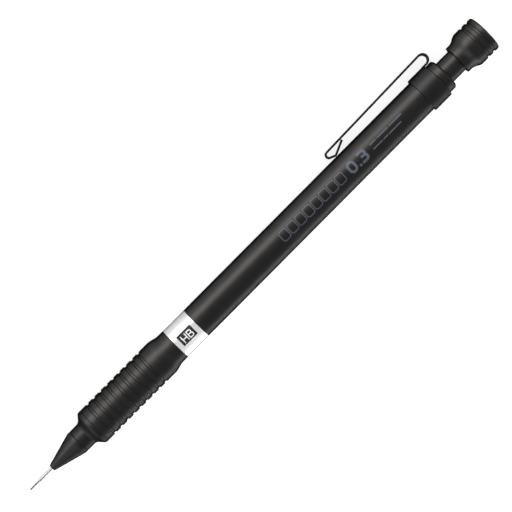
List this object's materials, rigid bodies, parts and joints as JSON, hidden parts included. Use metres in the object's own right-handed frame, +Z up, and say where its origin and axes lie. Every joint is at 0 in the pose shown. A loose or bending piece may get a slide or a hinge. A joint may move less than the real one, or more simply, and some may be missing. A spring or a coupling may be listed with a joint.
{
  "type": "mechanical pencil",
  "caption": "Drafting mechanical pencil with a fixed guide pipe, grooved metal grip, turning lead-grade ring, plain barrel, folded spring clip and push cap over an eraser.",
  "frame": {"origin": "under the middle of the pencil's box, on the surface it lies on", "axes": "+X towards the writing tip, +Z up; the printed side faces up and towards -Y, and the clip touches the surface on the -Y side"},
  "size_m": [0.1474, 0.0116, 0.0094],
  "materials": {
    "satin_black": "satin",
    "satin_black_light_metal": "satin",
    "blue_black": "satin",
    "silver_ring": "fine turned satin",
    "pipe_steel": "polished",
    "spring_steel": "bright",
    "brass": "turned",
    "drum_black": "matte, printed",
    "tube_plastic": "moulded",
    "retainer_rubber": "soft",
    "black_rubber": "soft",
    "eraser_white": "matt",
    "graphite": "graphite sheen"
  },
  "bodies": {
    "body": {"front_ferrule": "blue_black", "core_tube": "brass", "grip_sleeve": "satin_black", "grade_drum": "drum_black", "ring_o_ring": "black_rubber", "barrel": "satin_black_light_metal", "end_bush": "satin_black_light_metal", "clip_band": "blue_black", "seat_sleeve": "brass", "return_spring": "spring_steel"},
    "nose": {"nose_cone": "blue_black", "guide_pipe": "pipe_steel", "lead_retainer": "retainer_rubber"},
    "push_unit": {"chuck_stem": "brass", "connector": "brass", "lead_tube": "tube_plastic", "spare_leads": "graphite", "push_tube": "satin_black_light_metal"},
    "jaw_1": {"chuck_jaw_1": "brass"},
    "jaw_2": {"chuck_jaw_2": "brass"},
    "jaw_3": {"chuck_jaw_3": "brass"},
    "clutch_ring": {"clutch_ring": "brass"},
    "lead": {"lead": "graphite"},
    "grade_ring": {"grade_ring": "silver_ring"},
    "clip_arm": {"clip_arm": "blue_black"},
    "cap": {"push_cap": "satin_black_light_metal"},
    "eraser_unit": {"eraser": "eraser_white", "eraser_holder": "spring_steel", "cleaning_needle": "spring_steel"}
  },
  "joints": [
    {"name": "push_button", "type": "slide", "parent": "body", "child": "push_unit", "axis": [1, 0, 0], "range_m": [0, 0.0032], "stiffness_N_per_m": 1500, "deforming": ["return_spring"]},
    {"name": "clutch_slide", "type": "slide", "parent": "body", "child": "clutch_ring", "axis": [1, 0, 0], "range_m": [0, 0.00097]},
    {"name": "jaw_1_open", "type": "hinge", "parent": "push_unit", "child": "jaw_1", "pos_m": [0.0459, 0.00043, 0.00509], "axis": [0, -0.5012, -0.8654], "range_deg": [0, 2]},
    {"name": "jaw_2_open", "type": "hinge", "parent": "push_unit", "child": "jaw_2", "pos_m": [0.0459, 0.00178, 0.00509], "axis": [0, -0.4988, 0.8667], "range_deg": [0, 2]},
    {"name": "jaw_3_open", "type": "hinge", "parent": "push_unit", "child": "jaw_3", "pos_m": [0.0459, 0.0011, 0.00392], "axis": [0, 1, -0.0013], "range_deg": [0, 2]},
    {"name": "lead_feed", "type": "slide", "parent": "clutch_ring", "child": "lead", "axis": [1, 0, 0], "range_m": [-0.0028, 0.01]},
    {"name": "grade_ring_turn", "type": "hinge", "parent": "body", "child": "grade_ring", "pos_m": [0.0233, 0.0011, 0.0047], "axis": [1, 0, 0], "continuous": true},
    {"name": "nose_pull", "type": "slide", "parent": "body", "child": "nose", "axis": [1, 0, 0], "range_m": [0, 0.026]},
    {"name": "clip_flex", "type": "hinge", "parent": "body", "child": "clip_arm", "pos_m": [-0.06064, -0.00385, 0.00185], "axis": [0, 0.4988, -0.8667], "range_deg": [0, 4], "stiffness_Nm_per_rad": 0.3},
    {"name": "cap_pull", "type": "slide", "parent": "push_unit", "child": "cap", "axis": [-1, 0, 0], "range_m": [0, 0.044]},
    {"name": "eraser_pull", "type": "slide", "parent": "push_unit", "child": "eraser_unit", "axis": [-1, 0, 0], "range_m": [0, 0.0287]}
  ],
  "couplings": [
    {"joint": "clutch_slide", "follows": "push_button", "ratio": 0.3},
    {"joint": "jaw_1_open", "follows": "push_button", "rad_per_m": 10.9},
    {"joint": "jaw_2_open", "follows": "push_button", "rad_per_m": 10.9},
    {"joint": "jaw_3_open", "follows": "push_button", "rad_per_m": 10.9},
    {"joint": "eraser_pull", "follows": "cap_pull", "ratio": 0.65}
  ]
}
